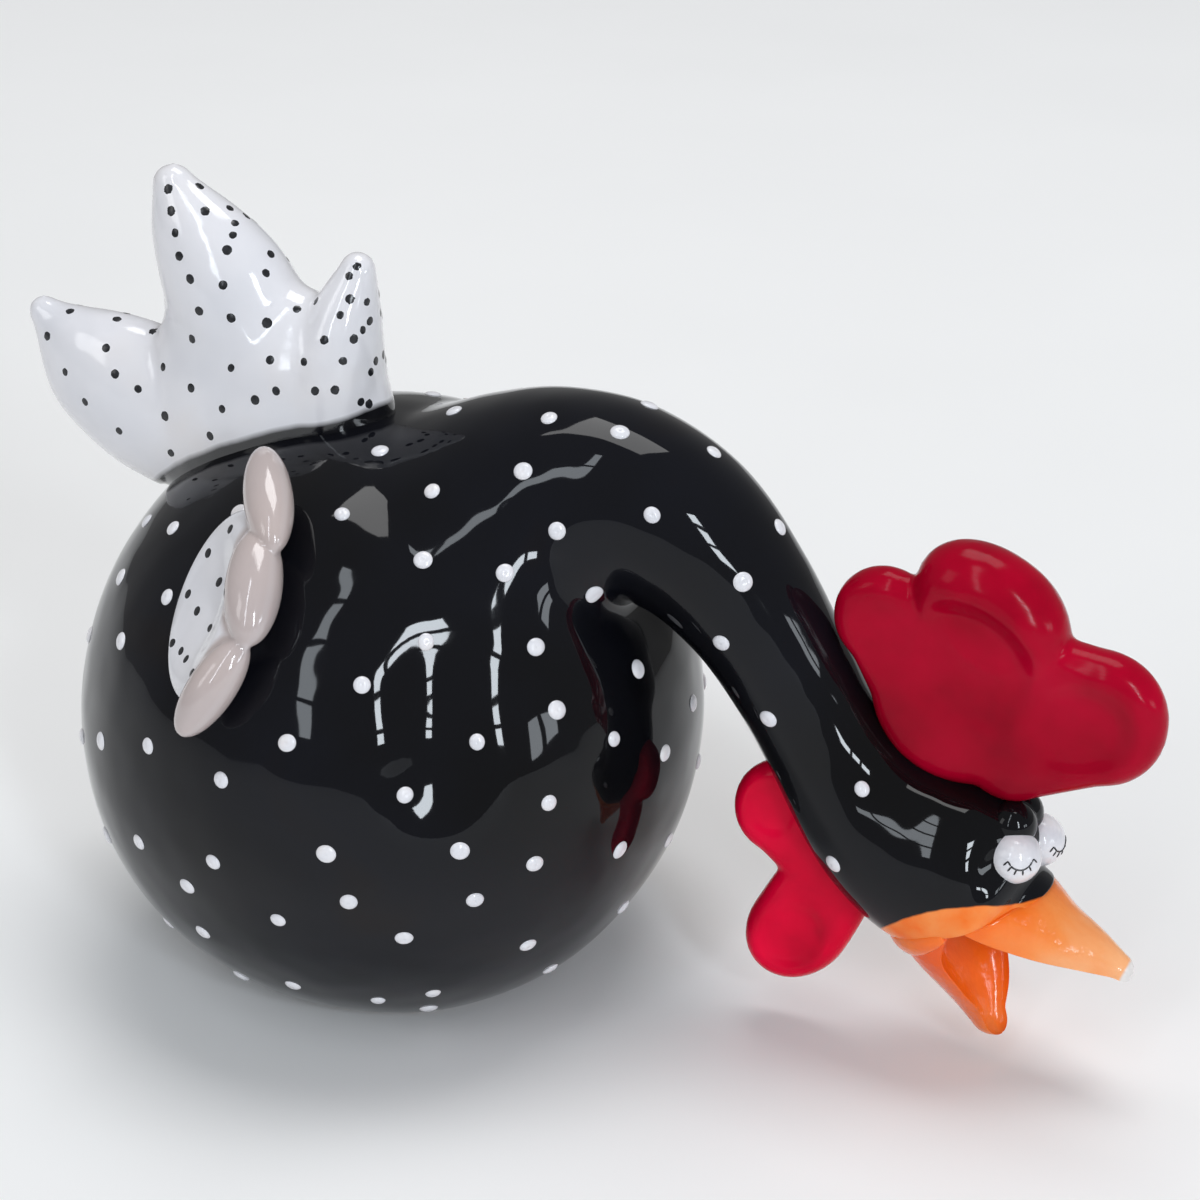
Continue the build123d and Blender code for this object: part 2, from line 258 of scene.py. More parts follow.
# How far off the pot's ball the black glaze runs up the tail and the wings, the softness of its edge and
# how ragged that is.
TAIL_COLLAR = 2.6
WING_COLLAR = 0.3
COLLAR_SOFT = 0.6
COLLAR_RAGGED = 1.2

# Wing, drawn flat and then placed on the pot at a longitude and latitude, in degrees.
WING_LONGITUDE = -113.0
WING_LATITUDE = 37.0
WING_REACH = Vector((0.862, -0.374, 0.342))
WING_RISE = Vector((-0.013, 0.658, 0.753))
# Palm, then fingers: place along the reach and the rise, heading, half length, width and thickness.
WING_PUFFS = (
    (11.2, 0.0, 90.0, 19.0, 14.0, 2.9),
    (17.4, 20.6, 122.0, 12.4, 4.7, 4.6),
    (20.5, 3.5, 106.0, 11.9, 5.5, 5.2),
    (16.2, -15.8, 56.0, 11.0, 4.5, 4.4),
)
# Dish pressed into the dotted face: along the reach and the rise, half length, half width and the level
# of its bottom. Then the share of it that its rim slopes over.
WING_DISH = (6.0, 0.0, 12.0, 18.0, 0.9)
WING_DISH_EASE = 0.5
# How the wing is merged and eased over: skin cell, rounds before and after the dish.
WING_VOXEL = 0.42
WING_ROUNDS = 3
WING_DISH_ROUNDS = 2
# How much lower the left wing sits on its flank, in degrees.
LEFT_WING_DROP = 28.0
# Squared shares of a finger's oval between which its painted shade gives way to the palm's plain white.
FINGER_CLEAR = (0.95, 1.45)

# Trailed slip dots: height, least way apart, oval's radius, ranges of size and squash, and sides; and the
# rings of their dome as shares of radius and height.
SLIP_HEIGHT = 0.62
SLIP_CLEAR = 11.0
SLIP_OVAL = (1.75, (0.9, 1.12), (0.9, 1.0), 28)
SLIP_RINGS = (
    (1.0, -0.25),
    (0.97, 0.16),
    (0.86, 0.5),
    (0.66, 0.8),
    (0.4, 0.97),
    (0.18, 1.0),
    (0.07, 0.86),
)
# Painted dots: least way from the near ones to the far ones, oval as above, how proud their middle lies,
# and rings as shares of radius and how proud they lie.
PAINT_CLEAR = 3.4
PAINT_OVAL = (1.08, (0.88, 1.1), (0.86, 1.0), 20)
PAINT_PROUD = 0.05
PAINT_RINGS = ((0.5, PAINT_PROUD), (1.0, -0.02))

# Places of dots in the photograph, in pixels of its frame.
SLIP_PIXELS = (
    (454, 411), (461, 435), (380, 451), (549, 418), (620, 432), (714, 452), (432, 491), (523, 471),
    (342, 514), (652, 515), (557, 531), (625, 557), (505, 573), (423, 560), (594, 594), (637, 603),
    (536, 647), (426, 642), (721, 643), (638, 669), (362, 685), (557, 710), (693, 703), (614, 739),
    (665, 753), (710, 744), (477, 742), (405, 795), (549, 803), (287, 743), (148, 746), (101, 741),
    (221, 780), (121, 641), (167, 597), (173, 528), (147, 521), (121, 577), (681, 834), (620, 850),
    (460, 851), (326, 854), (213, 862), (139, 842), (475, 900), (278, 920), (623, 907), (404, 938),
    (528, 945), (203, 932), (293, 985), (378, 1000), (433, 993), (780, 527), (743, 582), (768, 719),
    (862, 789), (833, 864),
)
PAINT_PIXELS = (
    (168, 189), (171, 211), (175, 233), (179, 256), (190, 279), (199, 311), (192, 339), (205, 211),
    (235, 223), (233, 235), (227, 250), (223, 285), (231, 318), (231, 368), (271, 254), (266, 273),
    (267, 323), (297, 309), (324, 340), (270, 360), (304, 362), (340, 315), (343, 361), (276, 391),
    (255, 400), (315, 391), (335, 390), (349, 276), (357, 266), (350, 299), (354, 339), (370, 321),
    (70, 311), (117, 319), (154, 331), (47, 336), (106, 348), (115, 374), (65, 372), (85, 402),
    (138, 389), (163, 367), (191, 388), (165, 416), (222, 409), (119, 431), (171, 453), (210, 436),
    (200, 186), (230, 208), (298, 275), (316, 301), (367, 302), (363, 330), (376, 361), (371, 372),
    (361, 402), (369, 404),
)
WING_PIXELS = (
    (230, 529), (208, 553), (219, 582), (188, 594), (224, 593), (197, 611), (173, 611), (210, 628),
    (172, 643), (181, 651), (186, 659), (192, 673), (176, 701),
)

# Shape habits: how far short of shut a horn's and a beak's round end stop, in rings, the rings on a lobe's
# crown, and how strongly each round of easing pulls.
DOME_SHORT = 0.3
BEAK_SHORT = 0.4
CROWN_RINGS = 6
EASE_FACTOR = 0.5

# Glaze colours: stops of place along a noise, or along the beak for the oranges, and colour.
ORANGES = (
    (0.05, (0.88, 0.105, 0.004)),
    (0.38, (0.93, 0.17, 0.012)),
    (0.62, (0.94, 0.28, 0.065)),
    (0.88, (0.93, 0.43, 0.19)),
)
REDS = (
    (0.28, (0.22, 0.0005, 0.010)),
    (0.50, (0.35, 0.0007, 0.016)),
    (0.74, (0.46, 0.0010, 0.024)),
)
BLACKS = (
    (0.30, (0.0028, 0.0028, 0.0034)),
    (0.62, (0.0045, 0.0050, 0.0080)),
    (0.80, (0.0090, 0.0055, 0.0040)),
)
WHITES = (
    (0.30, (0.69, 0.69, 0.73)),
    (0.55, (0.77, 0.76, 0.79)),
    (0.75, (0.79, 0.76, 0.765)),
)
CLAYS = ((0.3, (0.36, 0.24, 0.17)), (0.7, (0.52, 0.38, 0.29)))
CHIPS = ((0.3, (0.72, 0.68, 0.66)), (0.7, (0.80, 0.77, 0.74)))
PAINTS = ((0.3, (0.006, 0.007, 0.009)), (0.7, (0.022, 0.023, 0.027)))
FLOORS = ((0.3, (0.92, 0.92, 0.92)), (0.7, (0.94, 0.94, 0.94)))
# Clouded glazes: noise's scale and detail, gloss's scale and ends, ripple's scale and height in metres.
WHITE_CLOUD = (240.0, 3.0, (120.0, 0.08, 0.2), (500.0, 0.0001))
RED_CLOUD = (42.0, 4.0, (60.0, 0.10, 0.20), (85.0, 0.0006))
PAINT_CLOUD = (900.0, 3.0, (200.0, 0.12, 0.3), (700.0, 0.00005))
# How much brighter than the table the reds of comb and wattle are, the wattle's lift being painted light
# in the shade under the head; and tints of the tail and wing whites, the wing's being painted shade and a
# brownish painted reflection on its fingers.
COMB_LIFT = 1.0
WATTLE_PAINTED_LIGHT = 1.95
TAIL_TINT = (1.0, 1.0, 1.0)
WING_PAINTED_SHADE = (0.66, 0.565, 0.525)
# Heights between which the foot's bare clay gives way to glaze.
BARE_FOOT = (0.4, 1.1)
# Brushed orange: waver and stretch of its streaks, and where the tip is chipped white and how that wavers.
BRUSH_WAVER = 0.34
BRUSH_STRETCH = (0.35, 1.0, 0.6)
CHIP_EDGE = (0.915, 0.93)
CHIP_WAVER = 0.12
# Colour sockets of a mix node: first, second and result.
MIX_FIRST = 6
MIX_SECOND = 7
MIX_RESULT = 2

# Studio, in metres and watts. Soft lamps: name, place, aim, size, power.
SOFT_LAMPS = (
    ("overhead", (0.1, 0.4, 2.4), (0.03, 0.1, 0.05), (1.5, 1.1), 26.0),
    ("fill", (-3.63, -4.0, 2.73), (0.03, 0, 0.07), (1.6, 2.4), 24.0),
)
# Windows that the glaze mirrors: place, panes across and up, size of a pane, gap, power of a pane.
WINDOWS = (
    ((-0.42, -4.20, 3.77), (1, 4), (0.42, 1.34), 0.20, 14.4),
    ((3.38, -3.40, 2.01), (1, 3), (0.48, 0.64), 0.22, 32.0),
    ((4.62, -1.06, 0.77), (2, 1), (0.52, 0.70), 0.20, 9.6),
)
WINDOW_AIM = (0.02, 0, 0.07)
LAMP_COLOUR = (1, 1, 1)
PANE_COLOUR = (0.86, 0.93, 1.0)
FLOOR_SIDE = 4.4
ROOM_COLOUR = (1, 1, 1, 1)
ROOM_LIGHT = 0.30


# Shapes

def heading(angle):
    """Unit vector in the XZ plane, angle in degrees above level."""
    return Vector((math.cos(math.radians(angle)), 0, math.sin(math.radians(angle))))


def turns(sides):
    """Equal angles round a circle."""
    return [2 * math.pi * k / sides for k in range(sides)]


def flowing(stations, step):
    """Rows on a smooth curve through the stations, about a step apart."""
    rows = np.array(stations, float)
    gaps = np.linalg.norm(np.diff(rows[:, :2], axis=0), axis=1)
    slopes = np.diff(rows, axis=0) / gaps[:, None]
    inner = (slopes[:-1] * gaps[1:, None] + slopes[1:] * gaps[:-1, None]) / (gaps[:-1] + gaps[1:])[:, None]
    tangents = np.vstack((slopes[:1], inner, slopes[-1:]))
    out = []
    for i, gap in enumerate(gaps):
        for t in np.arange(0, 1, 1 / max(2, round(gap / step))):
            out.append(
                (1 + 2 * t) * (1 - t) ** 2 * rows[i]
                + t * (1 - t) ** 2 * gap * tangents[i]
                + t * t * (3 - 2 * t) * rows[i + 1]
                + t * t * (t - 1) * gap * tangents[i + 1]
            )
    out.append(rows[-1])
    return out


def oval_ring(row, sides):
    """Points round an oval station in the XZ plane's cross direction."""
    x, z, half_height, half_width, angle = row
    up = heading(angle + 90) * half_height
    return [Vector((x, half_width * math.sin(turn), z)) + up * math.cos(turn) for turn in turns(sides)]


def skin(rings):
    """Points and faces of a closed tube through rings of points, fanned shut at both ends."""
    sides = len(rings[0])
    points = [p for ring in rings for p in ring]
    faces = []
    for i in range(len(rings) - 1):
        for k in range(sides):
            after = (k + 1) % sides
            faces.append((i * sides + k, i * sides + after, (i + 1) * sides + after, (i + 1) * sides + k))
    for base, ring, flip in ((0, rings[0], True), ((len(rings) - 1) * sides, rings[-1], False)):
        middle = len(points)
        points.append(sum(ring, Vector()) / sides)
        for k in range(sides):
            pair = (base + k, base + (k + 1) % sides)
            faces.append((middle, *reversed(pair)) if flip else (middle, *pair))
    return points, faces


def domed(rows, steps=6, short=DOME_SHORT):
    """Rows with shrinking ones added past the last, as a round end."""
    x, z, a, b, h = rows[-1]
    reach = min(a, b)
    out = list(rows)
    for k in range(1, steps + 1):
        turn = math.pi / 2 * k / (steps + short)
        ahead = heading(h) * reach * math.sin(turn)
        out.append((x + ahead.x, z + ahead.z, a * math.cos(turn), b * math.cos(turn), h))
    return out


def horn(stations, sides=48, step=1.5):
    """Closed round-ended horn through oval stations."""
    rows = domed(flowing(stations, step))
    return skin([oval_ring(row, sides) for row in rows])


def pebble(x, z, radius, half_thickness, crown, stretch, lean, sides=72, steps=14):
    """Closed round or oval lobe in the XZ plane with a full rounded rim and crowned faces."""
    along, across = heading(lean) * stretch, heading(lean + 90)
    core = radius - half_thickness
    profile = []
    for k in range(1, CROWN_RINGS):
        profile.append((core * k / CROWN_RINGS, -half_thickness - crown * (1 - (k / CROWN_RINGS) ** 2)))
    for k in range(steps + 1):
        turn = math.pi * (k / steps - 0.5)
        profile.append((core + half_thickness * math.cos(turn), half_thickness * math.sin(turn)))
    profile.extend((reach, -side) for reach, side in reversed(profile[:CROWN_RINGS - 1]))
    ways = [along * math.cos(spin) + across * math.sin(spin) for spin in turns(sides)]
    return skin([[Vector((x, side, z)) + way * reach for way in ways] for reach, side in profile])


def bridge(first, second, steps=8, sides=48):
    """Closed slab with round edges that runs one lobe into another."""
    start, end = np.array(first[:5]), np.array(second[:5])
    lean = math.degrees(math.atan2(end[1] - start[1], end[0] - start[0]))
    up = heading(lean + 90)
    rings = []
    for t in np.linspace(0, 1, steps):
        x, z, radius, half, crown = start + (end - start) * t
        ring = []
        for turn in turns(sides):
            rise = math.copysign(radius - half, math.cos(turn)) + half * math.cos(turn)
            ring.append(Vector((x, half * math.sin(turn), z)) + up * rise)
        rings.append(ring)
    return skin(rings)


def puff(x, z, angle, half_length, half_width, half_thickness, sides=56, steps=40):
    """Closed pillow of clay in the XZ plane, its length at an angle in degrees."""
    along, across = heading(angle), heading(angle + 90)
    rings = []
    for k in range(1, steps):
        turn = math.pi * k / steps
        middle = Vector((x, 0, z)) - along * (half_length * math.cos(turn))
        ring = []
        for spin in turns(sides):
            side = across * (half_width * math.cos(spin)) + Vector((0, half_thickness * math.sin(spin), 0))
            ring.append(middle + side * math.sin(turn))
        rings.append(ring)
    return skin(rings)


def joined(shells):
    """Several closed shells as one list of points and faces."""
    points, faces = [], []
    for shell_points, shell_faces in shells:
        base = len(points)
        points.extend(shell_points)
        faces.extend(tuple(base + i for i in face) for face in shell_faces)
    return points, faces


def mesh_piece(name, points, faces, closed=True):
    """Smooth mesh object from points in millimetres, its faces turned outwards where it is closed."""
    mesh = bpy.data.meshes.new(name)
    mesh.from_pydata([p * MM for p in points], [], faces)
    mesh.validate()
    if closed:
        shell = bmesh.new()
        shell.from_mesh(mesh)
        bmesh.ops.recalc_face_normals(shell, faces=shell.faces)
        shell.to_mesh(mesh)
        shell.free()
    mesh.shade_smooth()
    piece = bpy.data.objects.new(name, mesh)
    bpy.context.scene.collection.objects.link(piece)
    return piece


def settle(piece):
    """Turns a piece's modifiers into its mesh."""
    graph = bpy.context.evaluated_depsgraph_get()
    mesh = bpy.data.meshes.new_from_object(piece.evaluated_get(graph))
    piece.modifiers.clear()
    piece.data = mesh
    mesh.shade_smooth()
    return piece


def smoothed(piece, rounds):
    """Eases a piece's surface over."""
    ease = piece.modifiers.new("ease", "SMOOTH")
    ease.factor = EASE_FACTOR
    ease.iterations = rounds
    return settle(piece)


def merged(name, shells, voxel, rounds):
    """One skin round overlapping shells, eased over as wet clay is."""
    piece = mesh_piece(name, *joined(shells))
    remesh = piece.modifiers.new("merge", "REMESH")
    remesh.mode = "VOXEL"
    remesh.voxel_size = voxel * MM
    remesh.use_smooth_shade = True
    settle(piece)
    return smoothed(piece, rounds)


def finely(piece, levels=1):
    """Subdivides a piece's mesh."""
    finer = piece.modifiers.new("finer", "SUBSURF")
    finer.levels = levels
    finer.render_levels = levels
    return settle(piece)


def push(piece, amount):
    """Moves each point along its normal by an amount in millimetres that depends on its place."""
    normals = [v.normal.copy() for v in piece.data.vertices]
    for vertex, normal in zip(piece.data.vertices, normals):
        vertex.co += normal * (amount(vertex.co / MM, normal) * MM)
    piece.data.update()
    return piece


def press_dishes(piece, dishes):
    """Presses both faces of a plate in the XZ plane towards its middle, as thumbs do."""
    normals = [v.normal.copy() for v in piece.data.vertices]
    for vertex, normal in zip(piece.data.vertices, normals):
        height = abs(vertex.co.y / MM)
        for x, z, half_length, half_width, lean, level in dishes:
            along = heading(lean)
            offset = Vector((vertex.co.x / MM - x, 0, vertex.co.z / MM - z))
            across = Vector((-along.z, 0, along.x))
            spread = (offset.dot(along) / half_length) ** 2 + (offset.dot(across) / half_width) ** 2
            ease = min(1.0, max(0.0, (1 - math.sqrt(spread)) / DISH_EASE))
            height -= max(0.0, height - level) * ease * ease * (3 - 2 * ease) * abs(normal.y)
        vertex.co.y = math.copysign(height, vertex.co.y) * MM
    piece.data.update()
    return piece


def surface_of(piece):
    """Search tree of a piece's mesh, in metres."""
    mesh = piece.data
    return BVHTree.FromPolygons([v.co for v in mesh.vertices], [p.vertices for p in mesh.polygons])


def wavy(place, normal):
    """Hand-made unevenness of the gourd at a place."""
    slow = noise.noise(place / WAVE_LENGTH)
    fine = noise.noise(place / (FINE_LENGTH * WAVE_LENGTH))
    return WAVE_HEIGHT * slow + FINE_HEIGHT * WAVE_HEIGHT * fine


def uneven(height, length):
    """Amount for push() that leaves a surface uneven, in waves of a height and length."""
    return lambda place, normal: height * noise.noise(place / length)


def on_ball(longitude, latitude):
    """Place on the pot's ball, angles in degrees."""
    lon, lat = math.radians(longitude), math.radians(latitude)
    way = Vector((math.cos(lat) * math.cos(lon), math.cos(lat) * math.sin(lon), math.sin(lat)))
    return BALL_CENTRE + way * BALL_RADIUS


# Photograph's rays

def camera_turn():
    """Rotation of the photograph's camera."""
    return (CAMERA_AIM - CAMERA_AT).to_track_quat("-Z", "Y")


def pixel_ray(pixel):
    """Way from the camera through a pixel of the photograph."""
    half = PHOTO_SIDE / 2
    focal = PHOTO_SIDE * CAMERA_LENS / CAMERA_SENSOR
    way = Vector((pixel[0] - half, half - pixel[1], -focal))
    return (camera_turn() @ way).normalized()


def seen_places(tree, pixels):
    """Places and normals on a surface that pixels of the photograph show."""
    found = []
    for pixel in pixels:
        place, normal, index, distance = tree.ray_cast(CAMERA_AT * MM, pixel_ray(pixel))
        if place is not None:
            found.append((place, normal))
    return found


# Materials

def material(name):
    """New node material: its tree and its shader."""
    made = bpy.data.materials.new(name)
    made.use_nodes = True
    shader = made.node_tree.nodes["Principled BSDF"]
    return made, made.node_tree, shader


def node(tree, kind, **inputs):
    """New node with some of its inputs set."""
    made = tree.nodes.new(kind)
    for key, value in inputs.items():
        made.inputs[key].default_value = value
    return made


def object_place(tree):
    """Socket with the place on the piece, in metres."""
    return tree.nodes.new("ShaderNodeTexCoord").outputs["Object"]


def cloud(tree, scale, detail=3.0, stretch=None):
    """Socket with soft noise from 0 to 1."""
    noise_node = node(tree, "ShaderNodeTexNoise", Scale=scale, Detail=detail)
    place = object_place(tree)
    if stretch:
        mapping = node(tree, "ShaderNodeMapping", Scale=stretch)
        tree.links.new(place, mapping.inputs["Vector"])
        place = mapping.outputs["Vector"]
    tree.links.new(place, noise_node.inputs["Vector"])
    return noise_node.outputs["Fac"]


def ramp(tree, value, stops):
    """Socket with a colour ramp over a value: stops of place and colour."""
    made = tree.nodes.new("ShaderNodeValToRGB")
    elements = made.color_ramp.elements
    while len(elements) < len(stops):
        elements.new(0.5)
    for element, (at, colour) in zip(elements, stops):
        element.position = at
        element.color = (*colour, 1)
    tree.links.new(value, made.inputs["Fac"])
    return made.outputs["Color"]


def mixed(tree, factor, first, second):
    """Socket that goes from one colour socket to another."""
    made = tree.nodes.new("ShaderNodeMix")
    made.data_type = "RGBA"
    tree.links.new(factor, made.inputs["Factor"])
    tree.links.new(first, made.inputs[MIX_FIRST])
    tree.links.new(second, made.inputs[MIX_SECOND])
    return made.outputs[MIX_RESULT]


def ripple(tree, shader, scale, height, detail=2.0):
    """Bumps the shader's surface with soft noise of a height in metres."""
    bump = node(tree, "ShaderNodeBump", Strength=1.0, Distance=height)
    tree.links.new(cloud(tree, scale, detail), bump.inputs["Height"])
    tree.links.new(bump.outputs["Normal"], shader.inputs["Normal"])


def ranged(tree, value, start=(0.0, 1.0), end=(0.0, 1.0)):
    """Socket with a value taken from one range to another and held within it."""
    limits = dict(zip(("From Min", "From Max", "To Min", "To Max"), (*start, *end)))
    made = node(tree, "ShaderNodeMapRange", **limits)
    tree.links.new(value, made.inputs["Value"])
    return made.outputs["Result"]


def gloss(tree, shader, scale, low, high):
    """Varies roughness between two values."""
    tree.links.new(ranged(tree, cloud(tree, scale), end=(low, high)), shader.inputs["Roughness"])


def height_step(tree, low, high):
    """Socket that goes from 0 to 1 between two heights, in metres."""
    split = tree.nodes.new("ShaderNodeSeparateXYZ")
    tree.links.new(object_place(tree), split.inputs["Vector"])
    return ranged(tree, split.outputs["Z"], (low, high))


def ball_distance_step(tree, low, high):
    """Socket that goes from 0 to 1 as a place moves off the pot's ball, in metres, with a ragged edge."""
    away = node(tree, "ShaderNodeVectorMath")
    away.operation = "DISTANCE"
    away.inputs[1].default_value = BALL_CENTRE * MM
    tree.links.new(object_place(tree), away.inputs[0])
    reach = COLLAR_RAGGED * MM
    ragged = ranged(tree, cloud(tree, scale=55.0), end=(-reach, reach))
    return ranged(tree, worked(tree, "ADD", away.outputs["Value"], ragged), (low, high))


def worked(tree, operation, *values):
    """Socket with a sum worked on sockets and numbers."""
    made = tree.nodes.new("ShaderNodeMath")
    made.operation = operation
    for slot, value in zip(made.inputs, values):
        if isinstance(value, float):
            slot.default_value = value
        else:
            tree.links.new(value, slot)
    return made.outputs["Value"]


def cheek_step(tree):
    """Socket that goes from 0 to 1 where orange is brushed over the head.

    That is past the beak's face, and further up the cheeks, with a wavering edge.
    """
    x, z, angle = BEAK_FACE
    way = heading(angle)
    split = tree.nodes.new("ShaderNodeSeparateXYZ")
    tree.links.new(object_place(tree), split.inputs["Vector"])
    ahead, side, up = split.outputs
    past = worked(tree, "MULTIPLY_ADD", ahead, way.x, worked(tree, "MULTIPLY", up, way.z))
    steepness = CHEEK_RISE / CHEEK_SIDE ** 2 / MM
    rise = worked(tree, "MULTIPLY", worked(tree, "MULTIPLY", side, side), steepness)
    on_right = worked(tree, "LESS_THAN", side, 0.0)
    share = worked(tree, "MULTIPLY_ADD", on_right, 1 - LEFT_CHEEK, LEFT_CHEEK)
    cheek = worked(tree, "MULTIPLY", rise, share)
    reach = CHEEK_WAVER * MM
    waver = ranged(tree, cloud(tree, scale=110.0), end=(-reach, reach))
    total = worked(tree, "ADD", worked(tree, "ADD", past, cheek), waver)
    edge = (Vector((x, 0, z)).dot(way) + CHEEK_BACK) * MM
    soft = CHEEK_SOFT * MM
    brushed = ranged(tree, total, (edge - soft, edge + soft))
    on_head = worked(tree, "GREATER_THAN", ahead, HEAD_FROM * MM)
    return worked(tree, "MULTIPLY", brushed, on_head)


def black_glaze():
    """Deep black glaze, navy and brown where it lies thin, bare clay under the foot."""
    made, tree, shader = material("black_glaze")
    glaze = ramp(tree, cloud(tree, scale=22.0), BLACKS)
    clay = ramp(tree, cloud(tree, scale=160.0, detail=6.0), CLAYS)
    low, high = BARE_FOOT
    footed = mixed(tree, height_step(tree, low * MM, high * MM), clay, glaze)
    cheek = ramp(tree, cloud(tree, scale=130.0, detail=4.0), ORANGES[:3])
    tree.links.new(mixed(tree, cheek_step(tree), footed, cheek), shader.inputs["Base Color"])
    gloss(tree, shader, scale=30.0, low=0.02, high=0.06)
    ripple(tree, shader, scale=34.0, height=0.0011)
    shader.inputs["IOR"].default_value = 1.54
    shader.inputs["Specular IOR Level"].default_value = 0.22
    return made


def white_glaze(name, shade_tint, collar):
    """White glaze with bluish and pinkish patches, black up to a collar where it meets the pot.

    A wing's palm, marked by the attribute of that name, keeps the plain white; elsewhere the white is
    scaled by a tint, which on the wing's fingers is painted shade and a brownish painted reflection.
    """
    made, tree, shader = material(name)
    # On the wing's fingers this tint is painted shade and a brownish painted reflection.
    tint = [(at, tuple(c * w for c, w in zip(colour, shade_tint))) for at, colour in WHITES]
    palm = tree.nodes.new("ShaderNodeAttribute")
    palm.attribute_name = "palm"
    shaded = ramp(tree, cloud(tree, scale=38.0), tint)
    plain = ramp(tree, cloud(tree, scale=38.0), WHITES)
    body = mixed(tree, palm.outputs["Fac"], shaded, plain)
    black = ramp(tree, cloud(tree, scale=22.0), BLACKS)
    edge, soft = (BALL_RADIUS + collar) * MM, COLLAR_SOFT * MM
    white_from = ball_distance_step(tree, edge - soft, edge + soft)
    tree.links.new(mixed(tree, white_from, black, body), shader.inputs["Base Color"])
    gloss(tree, shader, scale=40.0, low=0.05, high=0.14)
    ripple(tree, shader, scale=75.0, height=0.0007)
    shader.inputs["Coat Weight"].default_value = 0.6
    shader.inputs["Coat Roughness"].default_value = 0.03
    return made


def clouded(name, stops, scale, detail, shine, bumps):
    """Material of one clouded colour and its shader, from the numbers of its gloss and its ripple."""
    made, tree, shader = material(name)
    tree.links.new(ramp(tree, cloud(tree, scale, detail), stops), shader.inputs["Base Color"])
    gloss(tree, shader, *shine)
    ripple(tree, shader, *bumps)
    return made, shader


def plain_white(name):
    """White glaze of the eyes and the trailed dots."""
    made, shader = clouded(name, WHITES, *WHITE_CLOUD)
    return made


def red_glaze(name, lift):
    """Deep red glaze, darker where it pools."""
    # The reds are scaled by lift; the wattle's lift is painted light where it hangs in shade under the
    # head.
    stops = [(at, tuple(c * lift for c in colour)) for at, colour in REDS]
    made, shader = clouded(name, stops, *RED_CLOUD)
    shader.inputs["Specular IOR Level"].default_value = 0.09
    return made


def orange_glaze():
    """Brushed orange glaze, full at the face, thin towards the tips and chipped at the upper one."""
    made, tree, shader = material("orange_glaze")
    along = tree.nodes.new("ShaderNodeAttribute")
    along.attribute_name = "along"
    streak = cloud(tree, scale=130.0, detail=4.0, stretch=BRUSH_STRETCH)
    waver = ranged(tree, streak, end=(-BRUSH_WAVER, BRUSH_WAVER))
    colour = ramp(tree, worked(tree, "ADD", along.outputs["Fac"], waver), ORANGES)
    bare = ramp(tree, cloud(tree, scale=300.0), CHIPS)
    chip = ranged(tree, worked(tree, "MULTIPLY_ADD", waver, CHIP_WAVER, along.outputs["Fac"]), CHIP_EDGE)
    tree.links.new(mixed(tree, chip, colour, bare), shader.inputs["Base Color"])
    gloss(tree, shader, scale=90.0, low=0.10, high=0.24)
    ripple(tree, shader, scale=210.0, height=0.0005, detail=3.0)
    shader.inputs["Specular IOR Level"].default_value = 0.25
    shader.inputs["Coat Weight"].default_value = 0.3
    shader.inputs["Coat Roughness"].default_value = 0.05
    return made


def black_paint():
    """Brushed black dots and lash lines under the glaze."""
    made, shader = clouded("black_paint", PAINTS, *PAINT_CLOUD)
    return made


def floor_material():
    """Plain pale floor."""
    made, tree, shader = material("pale_floor")
    tree.links.new(ramp(tree, cloud(tree, scale=6.0), FLOORS), shader.inputs["Base Color"])
    shader.inputs["Roughness"].default_value = 0.7
    shader.inputs["Specular IOR Level"].default_value = 0.1
    return made


def dress(piece, finish, slot, *nodes):
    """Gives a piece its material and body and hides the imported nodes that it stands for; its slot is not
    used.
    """
    piece.data.materials.clear()
    piece.data.materials.append(finish)
    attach(piece, "root")
    if nodes:
        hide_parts(*nodes)
    return piece


# Pieces

def gourd_rows():
    """Rows of the black gourd: round the ball from behind to the neck ring, then the neck."""
    axis = heading(NECK_TILT)
    ring_turn = math.acos(NECK_PLANE / BALL_RADIUS)
    rows = []
    for k in range(1, BALL_RINGS + 1):
        turn = math.pi - (math.pi - ring_turn) * k / BALL_RINGS
        middle = BALL_CENTRE + axis * (BALL_RADIUS * math.cos(turn))
        half = BALL_RADIUS * math.sin(turn)
        rows.append((middle.x, middle.z, half, half, NECK_TILT))
    neck = flowing((*rows[-LEAD_ROWS::LEAD_STRIDE], *NECK_STATIONS), NECK_STEP)
    start = next(i for i, row in enumerate(neck) if np.allclose(row, rows[-1]))
    return rows + domed(neck[start + 1:])


def make_gourd():
    """Black pot, neck and head as one skin, with its dents, eye sockets, foot and beak face."""
    piece = mesh_piece("black_gourd", *skin([oval_ring(row, GOURD_SIDES) for row in gourd_rows()]))
    push(piece, wavy)
    dents = []
    for longitude, latitude, half_width, depth in THUMB_DENTS:
        dents.append((on_ball(longitude, latitude), half_width, -depth))
    (x, y, z), spread, depth = SOCKET
    dents.extend((Vector((x, side * y, z)), spread, -depth) for side in (1, -1))

    def swell(place, normal):
        total = 0.0
        for middle, spread, height in dents:
            total += height * math.exp(-((place - middle).length / spread) ** 2)
        return total

    push(piece, swell)
    face_x, face_z, face_heading = BEAK_FACE
    face_way = heading(face_heading)
    for vertex in piece.data.vertices:
        place = vertex.co / MM
        past = (place - Vector((face_x, 0, face_z))).dot(face_way)
        place -= face_way * max(0.0, past)
        if place.x < FOOT_BEFORE:
            place.z = 0.5 * (place.z + math.sqrt(place.z ** 2 + FOOT_SOFTNESS ** 2))
        vertex.co = place * MM
    piece.data.update()
    return finely(piece)


